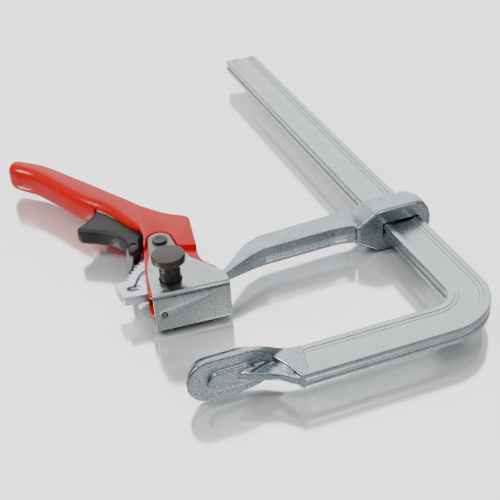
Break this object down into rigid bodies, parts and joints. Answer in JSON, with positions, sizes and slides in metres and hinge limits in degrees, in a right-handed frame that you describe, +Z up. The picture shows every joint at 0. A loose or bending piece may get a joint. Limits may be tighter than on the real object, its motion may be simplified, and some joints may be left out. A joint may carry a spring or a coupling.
{
  "type": "locking c clamp",
  "caption": "One-handed lever clamp: L-shaped steel rail with fixed jaw, sliding arm, ratchet lever with trigger, and a swivelling pressure plate.",
  "frame": {"origin": "a point on the fixed jaw's clamping face, 9.2 mm from the face's centre towards the jaw's round end, on the plane that halves the rail's thickness", "axes": "+Y out of the fixed jaw's face, along the rail towards its free end; +X from the jaws to the rail; +Z up, across the rail's thickness, with the clamp lying on its side"},
  "size_m": [0.2686, 0.4556, 0.0511],
  "materials": {
    "zinc_rail": "bright zinc plating on profiled steel, fine speckle",
    "zinc_arm": "bright zinc plating on a forging",
    "zinc_segment": "zinc plated stamping",
    "steel_rivet": "plain steel",
    "steel_washer": "plain steel",
    "steel_pin": "plain steel",
    "steel_spring": "spring wire",
    "red_lever": "smooth red powder coat",
    "link_steel": "brownish grey phosphated steel",
    "black_rivet": "blackened steel",
    "black_knob": "blackened turned steel",
    "zinc_plate": "zinc plated bent sheet",
    "black_plastic": "moulded black plastic",
    "grey_pawl": "hardened grey steel"
  },
  "bodies": {
    "frame": {"rail": "zinc_rail"},
    "arm": {"sliding_arm": "zinc_arm", "toothed_segment": "zinc_segment", "segment_rivet_a": "steel_rivet", "segment_rivet_b": "steel_rivet", "washer_upper": "steel_washer", "washer_lower": "steel_washer", "pivot_pin": "steel_pin", "return_spring": "steel_spring"},
    "lever": {"lever_handle": "red_lever", "link_plate_upper": "link_steel", "link_plate_lower": "link_steel", "link_rivet_upper": "black_rivet", "link_rivet_lower": "black_rivet", "knob_pin": "black_knob", "knob_ring": "black_knob", "trigger_pin": "steel_pin", "trigger_spring": "steel_spring"},
    "plate": {"pressure_plate": "zinc_plate", "plate_rivet": "steel_rivet"},
    "trigger": {"trigger": "black_plastic", "pawl": "grey_pawl", "pawl_pin": "steel_pin"}
  },
  "joints": [
    {"name": "arm_slide", "type": "slide", "parent": "frame", "child": "arm", "axis": [0, 1, 0], "range_m": [-0.055, 0.285]},
    {"name": "lever_swing", "type": "hinge", "parent": "arm", "child": "lever", "pos_m": [0.024, 0.0835, 0], "axis": [0, 0, 1], "range_deg": [-16, 11]},
    {"name": "plate_swivel", "type": "hinge", "parent": "lever", "child": "plate", "pos_m": [0.0026, 0.0821, 0], "axis": [0, 0, 1], "range_deg": [-12, 17]},
    {"name": "trigger_press", "type": "hinge", "parent": "lever", "child": "trigger", "pos_m": [0.009, 0.16, 0], "axis": [0, 0, -1], "range_deg": [0, 12], "stiffness_Nm_per_rad": 0.5, "springref_deg": -5.73}
  ],
  "couplings": [
    {"joint": "plate_swivel", "follows": "lever_swing", "ratio": -1}
  ]
}
